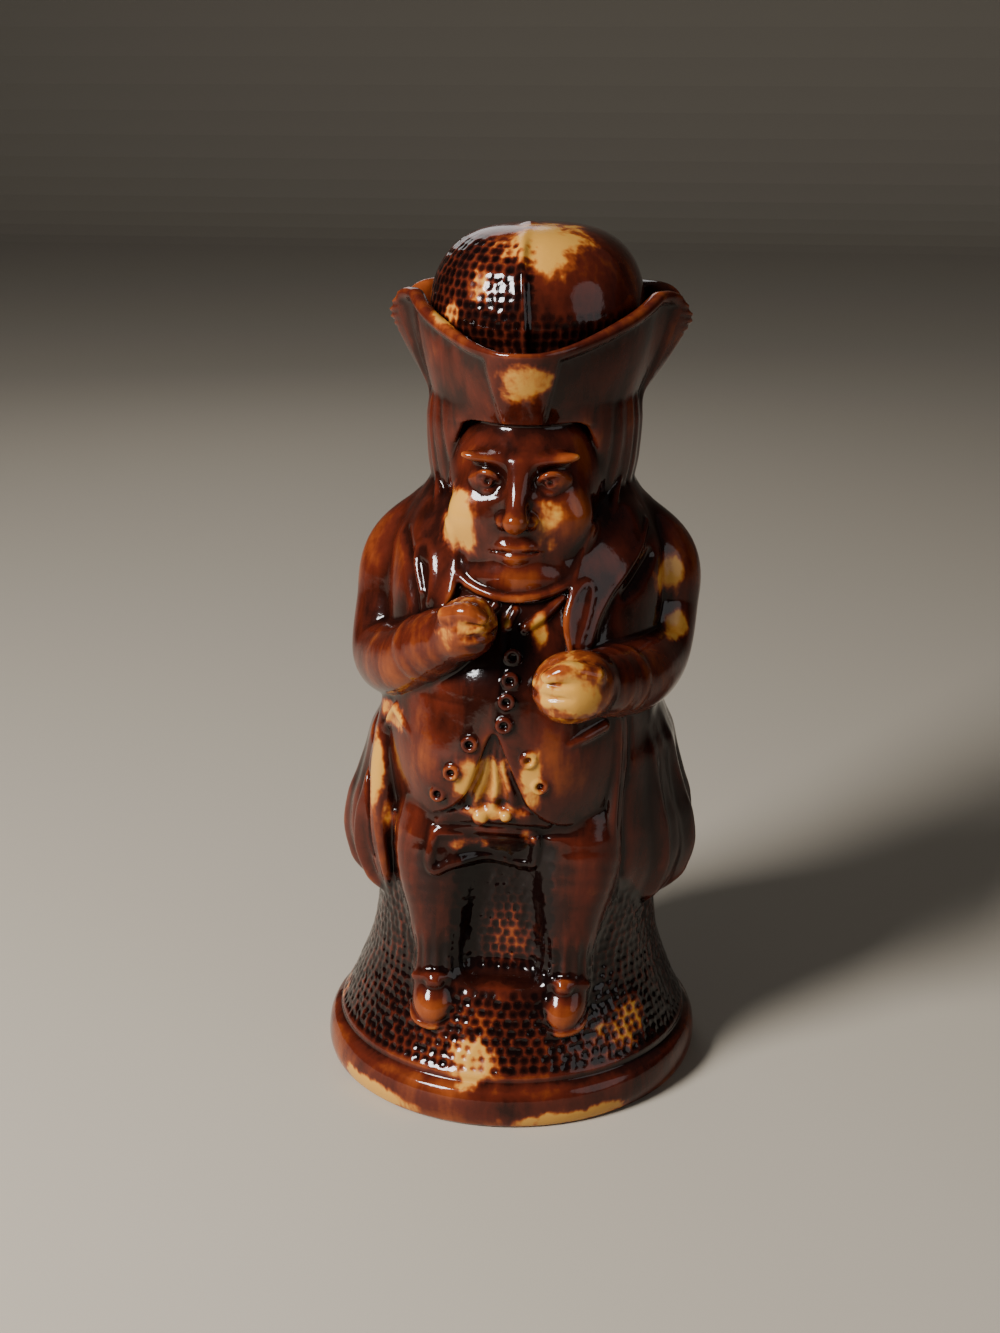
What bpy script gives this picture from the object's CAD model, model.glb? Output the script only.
# A treacle-glazed toby jug: a stout figure in a cocked hat on a dimpled round base, with a loop
# handle behind and a loose hat crown. The clay is modelled as one distance field, in millimetres,
# skinned with a fine mesh, and glazed by how deep each spot lies in the relief.
import math
import time
from concurrent.futures import ThreadPoolExecutor

import bpy
import numpy as np
import openvdb
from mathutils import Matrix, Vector


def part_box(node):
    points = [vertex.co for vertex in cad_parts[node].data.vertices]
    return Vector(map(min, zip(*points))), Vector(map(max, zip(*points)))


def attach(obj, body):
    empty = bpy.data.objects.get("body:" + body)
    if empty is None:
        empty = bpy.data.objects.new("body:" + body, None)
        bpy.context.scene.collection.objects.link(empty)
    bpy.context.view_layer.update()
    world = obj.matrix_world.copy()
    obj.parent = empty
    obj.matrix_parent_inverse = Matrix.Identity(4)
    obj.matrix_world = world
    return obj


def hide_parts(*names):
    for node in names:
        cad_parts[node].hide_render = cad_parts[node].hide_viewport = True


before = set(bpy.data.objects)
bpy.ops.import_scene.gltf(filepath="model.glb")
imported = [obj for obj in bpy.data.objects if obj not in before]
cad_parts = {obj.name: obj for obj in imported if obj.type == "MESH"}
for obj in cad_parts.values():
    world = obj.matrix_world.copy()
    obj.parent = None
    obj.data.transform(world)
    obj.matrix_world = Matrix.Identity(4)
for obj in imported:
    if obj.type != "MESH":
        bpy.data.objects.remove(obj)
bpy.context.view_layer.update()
startTime = time.time()


def say(words):
    print(f"{time.time() - startTime:6.1f} s  {words}", flush=True)


mm = 0.001
jugLow, jugHigh = [[v / mm for v in corner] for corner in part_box("jug")]
coverLow, coverHigh = [[v / mm for v in corner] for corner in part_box("hat_crown_cover")]

# The whole figure leans to +X by this much for each millimetre of height
lean = 0.033


# Curves and shapes, each a distance in millimetres that is negative inside the clay
def smoothCurve(knots, values, samples=400):
    # A curve through the values, with no overshoot, kept as a fine table
    k, v = np.asarray(knots, float), np.asarray(values, float)
    step = np.diff(v) / np.diff(k)
    slope = np.zeros(len(k))
    both = step[:-1] * step[1:] > 0
    mean = 2 * step[:-1] * step[1:] / np.where(both, step[:-1] + step[1:], 1)
    slope[1:-1] = np.where(both, mean, 0)
    slope[0], slope[-1] = step[0], step[-1]
    at = np.linspace(k[0], k[-1], samples)
    i = np.clip(np.searchsorted(k, at, side="right") - 1, 0, len(k) - 2)
    width = k[i + 1] - k[i]
    t = (at - k[i]) / width
    table = (
        (1 + 2 * t) * (1 - t) ** 2 * v[i]
        + t * (1 - t) ** 2 * width * slope[i]
        + t * t * (3 - 2 * t) * v[i + 1]
        + t * t * (t - 1) * width * slope[i + 1]
    )
    return lambda z: np.interp(z, at, table)


def smoothPath(points, samples):
    # A Catmull-Rom path through rows of numbers
    p = np.asarray(points, float)
    ends = np.vstack([2 * p[0] - p[1], p, 2 * p[-1] - p[-2]])
    t = np.linspace(0, len(p) - 1, samples)
    i = np.minimum(t.astype(int), len(p) - 2)
    f = (t - i)[:, None]
    a, b, c, d = ends[i], ends[i + 1], ends[i + 2], ends[i + 3]
    return 0.5 * (2 * b + (c - a) * f + (2 * a - 5 * b + 4 * c - d) * f**2 + (3 * b - a - 3 * c + d) * f**3)


def blendMin(a, b, k):
    h = np.maximum(k - np.abs(a - b), 0) / k
    return np.minimum(a, b) - h * h * k * 0.25


def bump(value, centre, width):
    return np.exp(-(((value - centre) / width) ** 2))


def ease(value, low, high):
    t = np.clip((value - low) / (high - low), 0, 1)
    return t * t * (3 - 2 * t)


class Shape:
    # A distance function with the box that it fills
    def __init__(self, distance, low, high):
        self.distance = distance
        self.low = low
        self.high = high


def egg(centre, radii, tilt=0, roll=0):
    # An ellipsoid, turned by tilt about X and then by roll about Y, in degrees
    c, r = np.array(centre, float), np.array(radii, float)
    ct, st = math.cos(math.radians(tilt)), math.sin(math.radians(tilt))
    cr, sr = math.cos(math.radians(roll)), math.sin(math.radians(roll))

    def distance(x, y, z):
        u, v, w = x - c[0], y - c[1], z - c[2]
        u, w = cr * u - sr * w, sr * u + cr * w
        v, w = ct * v + st * w, -st * v + ct * w
        near = np.sqrt((u / r[0]) ** 2 + (v / r[1]) ** 2 + (w / r[2]) ** 2)
        steep = np.sqrt((u / r[0] ** 2) ** 2 + (v / r[1] ** 2) ** 2 + (w / r[2] ** 2) ** 2)
        return near * (near - 1) / np.maximum(steep, 1e-6)

    reach = r.max() if (tilt or roll) else r
    return Shape(distance, c - reach, c + reach)


def limb(stops, samples=14, fold=None, thick=1.0, facing=None):
    # A round limb through stops of x, y, z and radius. fold changes the radius along it, and
    # thick flattens it in the direction that it faces.
    path = smoothPath(stops, samples)
    if fold is not None:
        path[:, 3] += fold(np.linspace(0, 1, samples))
    face = None if facing is None else np.array(facing, float) / np.linalg.norm(facing)

    def distance(x, y, z):
        best = np.full(x.shape, 1e3)
        for a, b in zip(path[:-1], path[1:]):
            run = b[:3] - a[:3]
            u, v, w = x - a[0], y - a[1], z - a[2]
            h = np.clip((u * run[0] + v * run[1] + w * run[2]) / (run @ run), 0, 1)
            u, v, w = u - h * run[0], v - h * run[1], w - h * run[2]
            radius = a[3] + (b[3] - a[3]) * h
            if face is None:
                d = np.sqrt(u * u + v * v + w * w) - radius
            else:
                out = u * face[0] + v * face[1] + w * face[2]
                side = np.maximum(u * u + v * v + w * w - out * out, 0)
                d = (np.sqrt(side + (out / thick) ** 2) / radius - 1) * radius * thick
            best = np.minimum(best, d)
        return best

    wide = path[:, 3].max()
    return Shape(distance, path[:, :3].min(0) - wide, path[:, :3].max(0) + wide)


def block(centre, half, edge):
    # A box with rounded edges
    c, h = np.array(centre, float), np.array(half, float) - edge

    def distance(x, y, z):
        u, v, w = np.abs(x - c[0]) - h[0], np.abs(y - c[1]) - h[1], np.abs(z - c[2]) - h[2]
        out = np.sqrt(np.maximum(u, 0) ** 2 + np.maximum(v, 0) ** 2 + np.maximum(w, 0) ** 2)
        return out + np.minimum(np.maximum(np.maximum(u, v), w), 0) - edge

    return Shape(distance, c - h - edge, c + h + edge)


def ringShape(centre, normal, radius, tube):
    # A small ring, such as a button's rim
    c = np.array(centre, float)
    n = np.array(normal, float) / np.linalg.norm(normal)

    def distance(x, y, z):
        u, v, w = x - c[0], y - c[1], z - c[2]
        out = u * n[0] + v * n[1] + w * n[2]
        flat = np.sqrt(np.maximum(u * u + v * v + w * w - out * out, 0))
        return np.sqrt((flat - radius) ** 2 + out**2) - tube

    return Shape(distance, c - radius - tube, c + radius + tube)


def stack(levels, bottom, top, edge=1.0):
    # A body through levels of z, half width, front depth and back depth
    z0, w0, f0, b0 = np.asarray(levels, float).T
    wide, front, back = smoothCurve(z0, w0), smoothCurve(z0, f0), smoothCurve(z0, b0)

    def distance(x, y, z):
        w = wide(z)
        ahead = y < 0
        depth = np.where(ahead, front(z), back(z))
        near = np.hypot(x / w, y / depth)
        steep = np.hypot(x / w**2, y / depth**2)
        d = near * (near - 1) / np.maximum(steep, 1e-6)
        above = np.where(ahead, front(z + 0.5), back(z + 0.5))
        share = (y / depth / np.maximum(near, 1e-6)) ** 2
        slope = (above - depth) * 2 * share + (wide(z + 0.5) - w) * 2 * (1 - share)
        d = d / np.sqrt(1 + slope**2)
        ends = np.maximum(z - top, bottom - z)
        return -blendMin(-d, -ends, edge)

    return Shape(distance, np.array([-w0.max(), -f0.max(), bottom]), np.array([w0.max(), b0.max(), top]))


def outline(points, samples=90, closed=True):
    # The signed distance to a smooth closed outline drawn in X and Z
    path = smoothPath(points + points[:1], samples)
    path[-1] = path[0]

    def distance(x, z):
        best = np.full(x.shape, 1e6)
        inside = np.zeros(x.shape, bool)
        for a, b in zip(path[:-1], path[1:]):
            run = b - a
            u, w = x - a[0], z - a[1]
            h = np.clip((u * run[0] + w * run[1]) / max(run @ run, 1e-9), 0, 1)
            best = np.minimum(best, (u - h * run[0]) ** 2 + (w - h * run[1]) ** 2)
            cross = (a[1] > z) != (b[1] > z)
            inside ^= cross & (x < a[0] + (z - a[1]) * run[0] / (run[1] if run[1] else 1e-9))
        return np.sqrt(best) * np.where(inside, -1, 1)

    return distance, path.min(0), path.max(0)


class Clay:
    # Points in space and the distance at each; reach says how far from the clay it has to be true
    def __init__(self, x, y, z, reach):
        self.x, self.y, self.z, self.reach = x, y, z, reach
        self.d = np.full(x.shape, 9.0)
        self.low = np.array([x.min(), y.min(), z.min()])
        self.high = np.array([x.max(), y.max(), z.max()])

    def near(self, low, high, spare):
        lo, hi = np.asarray(low, float) - spare, np.asarray(high, float) + spare
        if (self.low > hi).any() or (self.high < lo).any():
            return None
        inside = (self.z > lo[2]) & (self.z < hi[2])
        inside &= (self.x > lo[0]) & (self.x < hi[0]) & (self.y > lo[1]) & (self.y < hi[1])
        found = np.flatnonzero(inside)
        return found if len(found) else None

    def add(self, shape, k=1.0):
        i = self.near(shape.low, shape.high, self.reach + k)
        if i is not None:
            self.d[i] = blendMin(self.d[i], shape.distance(self.x[i], self.y[i], self.z[i]), k)

    def cut(self, shape, k=1.0):
        i = self.near(shape.low, shape.high, self.reach + k)
        if i is not None:
            self.d[i] = -blendMin(-self.d[i], shape.distance(self.x[i], self.y[i], self.z[i]), k)

    def lift(self, low, high, height):
        # Raises the surface by the height that a function gives, inside a box
        i = self.near(low, high, 0)
        if i is not None:
            self.d[i] -= height(self.x[i], self.y[i], self.z[i])


def mirrored(stops):
    return [[-s[0], *s[1:]] for s in stops]


# The base and the column behind the legs
base = {
    "profile": [  # height, radius
        (0, 55.4), (1.2, 56.5), (4.5, 57.2), (8.5, 56.8), (11.2, 55.6), (12.5, 53.9), (13.3, 53.1),
        (14.4, 53.3), (16, 52.5), (20.5, 50.4), (25.4, 48.4), (30, 46.6), (34.8, 44.9), (40, 43.6),
        (48, 42.5), (60, 42.0), (84, 41.5),
    ],
    "recess": {"centre": (0, -45.5, 62), "half": (13.5, 10.5, 23.5), "edge": 6.5},  # between the legs
    "dimplePitch": 3.05, "dimpleDepth": 0.42, "dimpleRadius": 1.34, "dimpleTop": 84,
}


def roughen(a, b):
    # A repeatable number from 0 to 1 for each pair of whole numbers
    return np.modf(np.abs(np.sin(a * 12.9898 + b * 78.233) * 43758.5453))[0]


def dimples(x, y, z, along, radius, pitch, size):
    # How deep a place lies in staggered rows of pits, from 0 to 1 or so; along is the distance up
    # the surface, radius the way round it
    row = np.round(along / (pitch * 0.88))
    count = np.maximum(np.round(2 * np.pi * radius(row * pitch * 0.88) / pitch), 6)
    turn = (np.arctan2(x, -y) / (2 * np.pi) + 0.5) * count + 0.5 * np.mod(row, 2)
    cell = np.floor(turn)
    across = (turn - cell - 0.5 + 0.4 * (roughen(cell, row) - 0.5)) * pitch
    up = along - row * pitch * 0.88 + 0.24 * pitch * (roughen(row, cell) - 0.5)
    deep = 0.75 + 0.5 * roughen(cell + 7, row)
    return deep * np.exp(-((across**2 + up**2) / size**2) ** 1.5)


def basePits(x, y, z):
    heights, radii = np.array(base["profile"]).T
    arc = np.concatenate([[0], np.cumsum(np.hypot(np.diff(heights), np.diff(radii)))])
    along = smoothCurve(heights, arc)(z)
    deep = dimples(x, y, z, along, smoothCurve(arc, radii), base["dimplePitch"], base["dimpleRadius"])
    ledge = bump(z, 38.4, 2.2) * ease(-y, 30, 36) * (1 - ease(np.abs(x), 12, 18))
    return deep * ease(z, 15, 16.4) * (1 - ease(z, 80, 84)) * (1 - ledge)


def basePitsSeen(x, y, z):
    # The same pits, only where the base itself is the surface
    heights, radii = np.array(base["profile"]).T
    proud = np.hypot(x, y) - smoothCurve(heights, radii)(z)
    column = ease(proud, -3.6, -2.6) * (1 - ease(proud, 0.8, 1.6))
    centre, half = base["recess"]["centre"], base["recess"]["half"]
    wall = centre[1] + half[1]
    back = (1 - ease(np.abs(x), half[0] - 2, half[0] + 1)) * bump(y, wall, 2.5) * ease(z, 40, 42)
    return basePits(x, y, z) * np.maximum(column, back)


def makeBase(clay):
    levels = [(z, r, r, r - max(0, min(z - 40, 20)) * 0.12) for z, r in base["profile"]]
    clay.add(stack(levels, 0, 84, 0.8), 0.1)
    recess = base["recess"]
    clay.cut(block(recess["centre"], recess["half"], recess["edge"]), 4.5)
    clay.lift([-60, -60, 14], [60, 60, base["dimpleTop"]], lambda x, y,
        z: -base["dimpleDepth"] * basePits(x, y, z))


# Legs
legs = {
    "apart": 18.7,
    "breeches": [
        (14, -15, 105, 12), (17.6, -21, 92, 14.2), (19, -25.5, 80, 14.8), (19.3, -28.6, 70, 12.8),
        (19, -31, 61, 9.8), (18.8, -32.2, 55.5, 8.2),
    ],
    "stocking": [(18.7, -32, 60, 7.4), (18.7, -33, 50, 7), (18.8, -34, 42, 6.7), (18.9, -34.4, 36, 6.3)],
    "ribs": 19, "ribDepth": 0.26,
    "shoe": {"centre": (18.8, -38.2, 33.4), "radii": (6.9, 9.8, 6.4), "tilt": 38},
}


def makeLeg(clay, side):
    def turned(stops):
        return [(side * s[0], *s[1:]) for s in stops]

    apart = side * legs["apart"]
    clay.add(limb(turned(legs["stocking"]), 10), 2.6)

    def ribs(x, y, z):
        turn = np.arctan2(x - apart, -(y + 30))
        fade = ease(z, 39, 42) * (1 - ease(z, 54, 56)) * bump(turn, 0, 1.9)
        return legs["ribDepth"] * np.cos(turn * legs["ribs"]) * fade

    clay.lift([apart - 9, -44, 38], [apart + 9, -20, 58], ribs)
    clay.add(limb(turned(legs["breeches"]), 16), 4.0)
    shoe = legs["shoe"]
    x = side * shoe["centre"][0]
    clay.add(egg((x, *shoe["centre"][1:]), shoe["radii"], shoe["tilt"]), 1.2)
    clay.add(egg((x, -36.4, 38), (6.6, 6, 5)), 2.2)  # the instep
    sole = [(-6.9, -38.6, 30.6, 0.9), (-5.4, -43.2, 27.4, 1.1), (0, -45.6, 26.2, 1.2),
        (5.4, -43.2, 27.4, 1.1), (6.9, -38.6, 30.6, 0.9)]
    clay.add(limb([(x + dx, *rest) for dx, *rest in sole], 14), 0.7)
    strap = [(-6.4, -38, 38.4, 1.2), (0, -42.4, 40.6, 1.6), (6.4, -38, 38.4, 1.2)]
    clay.add(limb([(x + dx, *rest) for dx, *rest in strap], 10), 0.7)
    clay.add(egg((x, -42.6, 38.6), (2.6, 1.5, 2.6), 38), 0.5)  # the tongue below the strap


# The trunk, the waistcoat and the breeches' front
trunk = {
    "levels": [  # height, half width, front, back
        (74, 33, 32, 32), (79, 37, 36.5, 34), (90, 38, 41.4, 35), (103, 38.5, 44.6, 35.5),
        (118, 38.5, 47, 36),
        (129, 38, 46.2, 36), (140, 37, 42.2, 35.5), (150, 36, 38, 34.5), (160, 33, 34, 33),
        (169, 28, 30, 30), (178, 22, 25, 25),
    ],
}


def frontOf(x, z, proud=0.0):
    # How far forward the trunk's surface lies at a place seen from the front
    z0, w0, f0, _ = np.array(trunk["levels"], float).T
    wide, deep = smoothCurve(z0, w0)(z) + proud, smoothCurve(z0, f0)(z) + proud
    return -float(deep) * math.sqrt(max(0.02, 1 - (x / float(wide)) ** 2))


def onFront(points, proud=0.0):
    # Stops of x, z, radius set on the trunk's surface
    return [(x, frontOf(x, z, proud), z, r) for x, z, r in points]


def layer(clay, levels, proud, shape, k=0.8, soft=1.0):
    # A layer of cloth that stands proud of the trunk inside an outline
    grown = [(z, w + proud, f + proud, b + proud) for z, w, f, b in levels]
    body = stack(grown, levels[0][0], levels[-1][0], 0.5)
    flat, low, high = shape

    def distance(x, y, z):
        return -blendMin(-body.distance(x, y, z), -flat(x, z), soft)

    box = Shape(distance, [low[0], body.low[1], low[1]], [high[0], 0, high[1]])
    clay.add(box, k)


waistcoat = {
    "proud": 2.6,
    "outline": [
        (34, 96), (40, 120), (40, 150), (30, 172), (0, 176), (-30, 172), (-40, 150), (-40, 120), (-40, 98),
        (-38.5, 90), (-34, 87), (-28.5, 86.2), (-21, 90.2), (-15, 95.7), (-10.7, 103), (-6.9, 112),
        (-3.2, 119),
        (0.2, 112), (4.6, 102.4), (8.8, 94.8), (14, 90.2), (20, 88.8), (28, 90.4),
    ],
    "seam": [(-2.6, 119, 0.5), (-1.8, 127, 0.6), (-1.4, 136, 0.6), (-1.2, 148, 0.5)],
    "lobes": [(-20, 106, 12.5, 11.5, 3.3), (16, 104.5, 11.5, 12, 2.5)],  # x, z, their spreads and how far out
    "lines": [
        [(-33.6, 119, 1.0), (-36, 114, 1.1), (-37.4, 109, 1.0)],
        [(-33.6, 118, 1.0), (-30, 115.6, 1.1), (-26.4, 113.2, 0.9)],
        [(17.4, 115.6, 1.0), (21.5, 117.2, 1.5), (26.4, 119, 1.5)],
        [(19.4, 114, 0.9), (19.6, 107, 0.9), (19.9, 100, 0.6)],
    ],
}

buttons = {  # x and z of each ring button, seen from the front
    "row": [(0.8, 140.4), (0.6, 134.4), (0, 128.8), (-0.4, 122.2)],
    "flap": [(-9.8, 116), (-14.8, 107), (-19, 98.8)],
    "faint": [(6.6, 112), (10, 104)],
    "radius": 1.75, "tube": 0.78,
}

breeches = {
    "band": [(-19, 91.4), (-12, 93.4), (-5, 94.4), (4, 94), (11, 92.4), (12.6, 88.6), (6, 88.9),
    (-5, 89.4), (-14, 88.4), (-20, 87.8)],
    "bandHeight": 1.0,
    "shirtFan": {"top": (-3, 122), "folds": 34, "depth": 0.7, "foot": 93.4},
    "fall": [
        (-21, 86.6), (-17, 87.5), (-7, 88.4), (3, 88.4), (8.8, 87.4), (10, 84), (9.8, 78), (8.2, 74),
        (3, 73.4), (-5, 75.4), (-14, 75), (-19, 72.8), (-22.2, 74.4), (-22.8, 80),
    ],
    "fallHeight": 1.2, "fallBorder": 2.6, "fallSink": 0.8,
    "knobs": [(-6.8, 91.4, 2.2), (0.4, 92.6, 1.7)],
}


def button(clay, x, z, proud, lift=0.5):
    for cx, cz, wide, tall, high in waistcoat["lobes"]:
        proud = (
            proud + high * math.exp(-(((x - cx) / wide) ** 2) - ((z - cz) / tall) ** 2) * min(1,
            abs(x + 2) / 9)
        )
    y = frontOf(x, z, proud) - lift
    normal = (x * 0.6, y, 0)
    clay.cut(egg((x, y - 0.6, z), (1.5, 1.6, 1.5)), 0.3)
    clay.add(ringShape((x, y, z), normal, buttons["radius"], buttons["tube"]), 0.35)


def raised(clay, points, height, edge=0.9, box=(-60, -22)):
    # Lifts the front of the clay inside an outline
    flat, low, high = outline(points)
    low, high = [low[0] - 2, box[0], low[1] - 2], [high[0] + 2, box[1], high[1] + 2]
    clay.lift(low, high, lambda x, y, z: height * (1 - ease(flat(x, z), -edge, edge)))


def makeTrunk(clay):
    levels = trunk["levels"]
    clay.add(stack(levels, levels[0][0], levels[-1][0], 3), 3)


def makeFronts(clay):
    levels = trunk["levels"]
    fan = breeches["shirtFan"]
    apex = fan["top"]

    def gathers(x, y, z):
        spread = np.arctan2(x - apex[0], apex[1] - z)
        fade = (
            ease(z, fan["foot"], fan["foot"] + 2) * (1 - ease(z, 117, 120)) * (1
            - ease(np.abs(spread), 0.5, 0.7))
        )
        width = np.clip((apex[1] - z) / 22, 0.3, 1)
        wave = np.cos(spread * fan["folds"] + 0.8 * np.sin(z * 0.35 + spread * 6))
        return fan["depth"] * width * (wave - 0.2) * fade

    clay.lift([-20, -60, 92], [14, -30, 120], gathers)
    raised(clay, breeches["band"], breeches["bandHeight"])
    raised(clay, breeches["fall"], breeches["fallHeight"], 0.8)
    flap, low, high = outline(breeches["fall"])
    border = breeches["fallBorder"]
    clay.lift([low[0], -60, low[1]], [high[0], -22, high[1]],
              lambda x, y, z: -breeches["fallSink"] * (1 - ease(flap(x, z), -border - 0.8, -border + 0.6)))
    for x, z, size in breeches["knobs"]:
        clay.add(egg((x, frontOf(x, z, 1.3), z), (size, 1.7, size)), 0.5)
    layer(clay, levels, waistcoat["proud"], outline(waistcoat["outline"], 120), 0.4, 1.6)

    def bulges(x, y, z):
        total = 0.0
        for cx, cz, wide, tall, high in waistcoat["lobes"]:
            total = total + high * bump(x, cx, wide) * bump(z, cz, tall)
        return total * ease(np.abs(x + 2), 1, 9) * ease(z, 84, 90)

    clay.lift([-40, -62, 84], [36, -24, 126], bulges)
    for line in waistcoat["lines"]:
        clay.add(limb(onFront(line, waistcoat["proud"] + 0.4), 10), 1.0)
    clay.cut(limb(onFront(waistcoat["seam"], waistcoat["proud"] + 0.3), 12), 0.5)
    for x, z in buttons["row"] + buttons["flap"]:
        button(clay, x, z, waistcoat["proud"])
    for x, z in buttons["faint"]:
        button(clay, x, z, waistcoat["proud"], 0.1)


# The coat
coat = {
    "levels": [
        (52, 40, 24, 38.5), (54, 44.5, 27, 42), (57, 47.2, 29.6, 44.5), (62, 49.8, 33, 46),
        (72, 52, 37.6, 46.4),
        (80, 51.2, 40, 45.6), (88, 48.8, 42, 44), (96, 46.8, 43.6, 42.6), (104, 45.2, 45.6, 41.6),
        (110, 42.6, 47.2, 40.6),
        (116, 40.6, 48.8, 39.6), (130, 41, 48, 39.4), (150, 41, 42.8, 39), (161, 40, 38.4, 37.5),
        (170, 36, 34, 35),
        (176, 32, 29, 33), (182, 28, 24, 31),
    ],
    "opening": [
        (28.6, 48), (28.6, 80), (28.8, 112), (27, 128), (22, 138), (17, 145), (16, 155), (14, 163),
        (8, 168), (0, 170),
        (-8, 168), (-14, 165), (-17, 155), (-24, 144), (-33, 128), (-38.6, 112), (-39, 92), (-37.4, 78),
        (-35, 62), (-34, 48), (0, 44),
    ],
    "edges": [
        [(29.8, 56), (29.8, 70), (29.8, 90), (30, 112), (28.4, 126), (24.6, 136)],
        [(-35.4, 56), (-37.2, 70), (-39.4, 90), (-39.4, 112), (-34.6, 126), (-29, 138)],
    ],
    "lining": [(-36.4, 58, 3.0), (-37.4, 70, 3.4), (-38, 84, 3.8), (-38, 98, 4.0), (-36.6, 112, 3.8),
    (-33, 124, 3.0)],
    "hip": [(-33, -16, 57, 4.4), (-33.6, -17, 70, 5.6), (-34, -19, 86, 5.6)],
    "pleats": 17, "pleatDepth": 1.5,
}


def coatFront(x, z, proud=0.0):
    z0, w0, f0, _ = np.array(coat["levels"], float).T
    wide, deep = float(smoothCurve(z0, w0)(z)) + proud, float(smoothCurve(z0, f0)(z)) + proud
    return -deep * math.sqrt(max(0.02, 1 - (x / wide) ** 2))


def coatSide(turn, z, proud=0.0):
    # A place on the coat at an angle round from the front, in degrees, positive to +X
    z0, w0, f0, b0 = np.array(coat["levels"], float).T
    ahead = math.cos(math.radians(turn)) > 0
    depth = smoothCurve(z0, f0 if ahead else b0)(z)
    wide = smoothCurve(z0, w0)(z)
    return ((float(wide) + proud) * math.sin(math.radians(turn)),
        -(float(depth) + proud) * math.cos(math.radians(turn)), z)


def makeCoat(clay):
    levels = coat["levels"]
    body = stack(levels, 52, 182, 1.6)
    hole, _, _ = outline(coat["opening"], 110)

    def pleated(x, y, z):
        turn = np.degrees(np.arctan2(x, -y))
        side = np.abs(turn)
        rise = ease(z, 50, 60) * (1 - ease(z, 88, 122)) * ease(side, 52, 66)
        wander = turn * coat["pleats"] / 360 * 2 * np.pi + 0.9 * np.sin(z * 0.05 + turn * 0.03)
        wave = np.cos(wander) + 0.45 * np.cos(wander * 2.1 + z * 0.03 + 1.2)
        return coat["pleatDepth"] * wave * rise * (0.4 + 0.6 * (1 - ease(z, 64, 112)))

    def distance(x, y, z):
        shell = body.distance(x, y, z) - pleated(x, y, z)
        front = np.where(y < 0, hole(x, z), 9)
        return -blendMin(-shell, front, 1.6)

    clay.add(Shape(distance, body.low - 3, body.high + 3), 1.2)
    clay.add(limb([(x, coatFront(x - 1, z) + 2.6, z, r) for x, z, r in coat["lining"]], 16), 1.4)
    clay.add(limb(coat["hip"], 8), 2.5)
    # a turned edge down each front of the coat, with a seam behind it
    for edge in coat["edges"]:
        clay.add(limb([(x, coatFront(x, z, 0.1), z, 1.4) for x, z in edge], 16), 1.2)
        outward = math.copysign(3.4, edge[0][0])
        clay.cut(limb([(x + outward, coatFront(x + outward, z, 0.3), z, 0.8) for x, z in edge[1:-1]], 12),
            1.0)
    # the back seam and the vent below it
    vent = [(0, coatSide(180, z, 0.4)[1], z, r) for z,
        r in ((54, 1.2), (70, 1.1), (90, 0.8), (112, 0.5), (150, 0.4))]
    clay.cut(limb(vent, 16), 1.4)


# Lapels and collar, each a roll laid on the coat
rolls = {
    "lapels": [
        [(-22, 178), (-17.4, 170), (-16.4, 162), (-17.4, 154), (-21.6, 150.4), (-24.2, 155), (-25, 161),
        (-29, 163.6), (-31.6, 170), (-28, 177)],
        [(22, 178), (17.4, 168), (14.8, 158), (14.6, 148), (16.8, 141.4), (21, 141), (23, 149),
        (26.2, 155.4), (30, 161), (33, 168), (30, 176)],
    ],
    "loops": [
        [(-26.4, 154, 1.0), (-28.6, 160, 1.3), (-28.2, 164.6, 1.4), (-25.6, 166.2, 1.4),
        (-23.6, 163.6, 1.3), (-23.2, 157.6, 1.2), (-24, 151.6, 0.8)],
        [(16.4, 141, 0.9), (14.8, 148, 1.3), (15.4, 154.4, 1.4), (18.2, 158.6, 1.4), (20.6, 157, 1.2),
        (20, 150, 1.1), (18.2, 143, 0.8)],
        [(21.2, 143, 0.9), (22.6, 149.4, 1.2), (25.4, 155.4, 1.3), (29, 160, 1.3), (32.4, 165.4, 1.2),
        (33.6, 171, 0.9)],
    ],
    "hollows": [[(-34.6, 167, 1.6), (-32, 161, 2.0), (-30, 154, 1.8), (-28, 148, 1.2)],
    [(30, 154.6, 1.4), (33, 157.4, 2.4), (36.2, 162.6, 1.8)]],
    "collar": [(25.4, -8, 188, 1.2), (24.2, -19, 176, 1.3), (20.5, -29, 166, 1.3),
    (13.5, -36.4, 158.4, 1.3), (0, -40.6, 155.4, 1.3)],
    "cravat": [[(3.6, 147.6, 1.4), (8.4, 151, 1.7), (12.8, 155, 1.2)], [(-1, 148.4, 1.2), (0.6, 152, 1.2)],
    [(-5, 153, 1.4), (-8.4, 149.4, 1.2)]],
}


def makeRolls(clay):
    for shape in rolls["lapels"]:
        raised(clay, shape, 1.0, 1.1, (-50, -8))
    for loop in rolls["loops"]:
        clay.add(limb([(x, coatFront(x, z, 0.2), z, 0.85 * r) for x, z, r in loop], 18), 1.3)
    for groove in rolls["hollows"]:
        clay.cut(limb([(x, coatFront(x, z, 0.6), z, r) for x, z, r in groove], 10), 1.8)
    clay.add(egg((0, -27, 160), (18, 12.8, 7)), 3.5)  # the neckcloth inside the collar
    half = rolls["collar"]
    clay.add(limb(mirrored(half) + half[-2::-1], 30), 0.9)
    for slash in rolls["cravat"]:
        clay.add(limb(onFront(slash, waistcoat["proud"] + 0.2), 8), 0.8)


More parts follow.
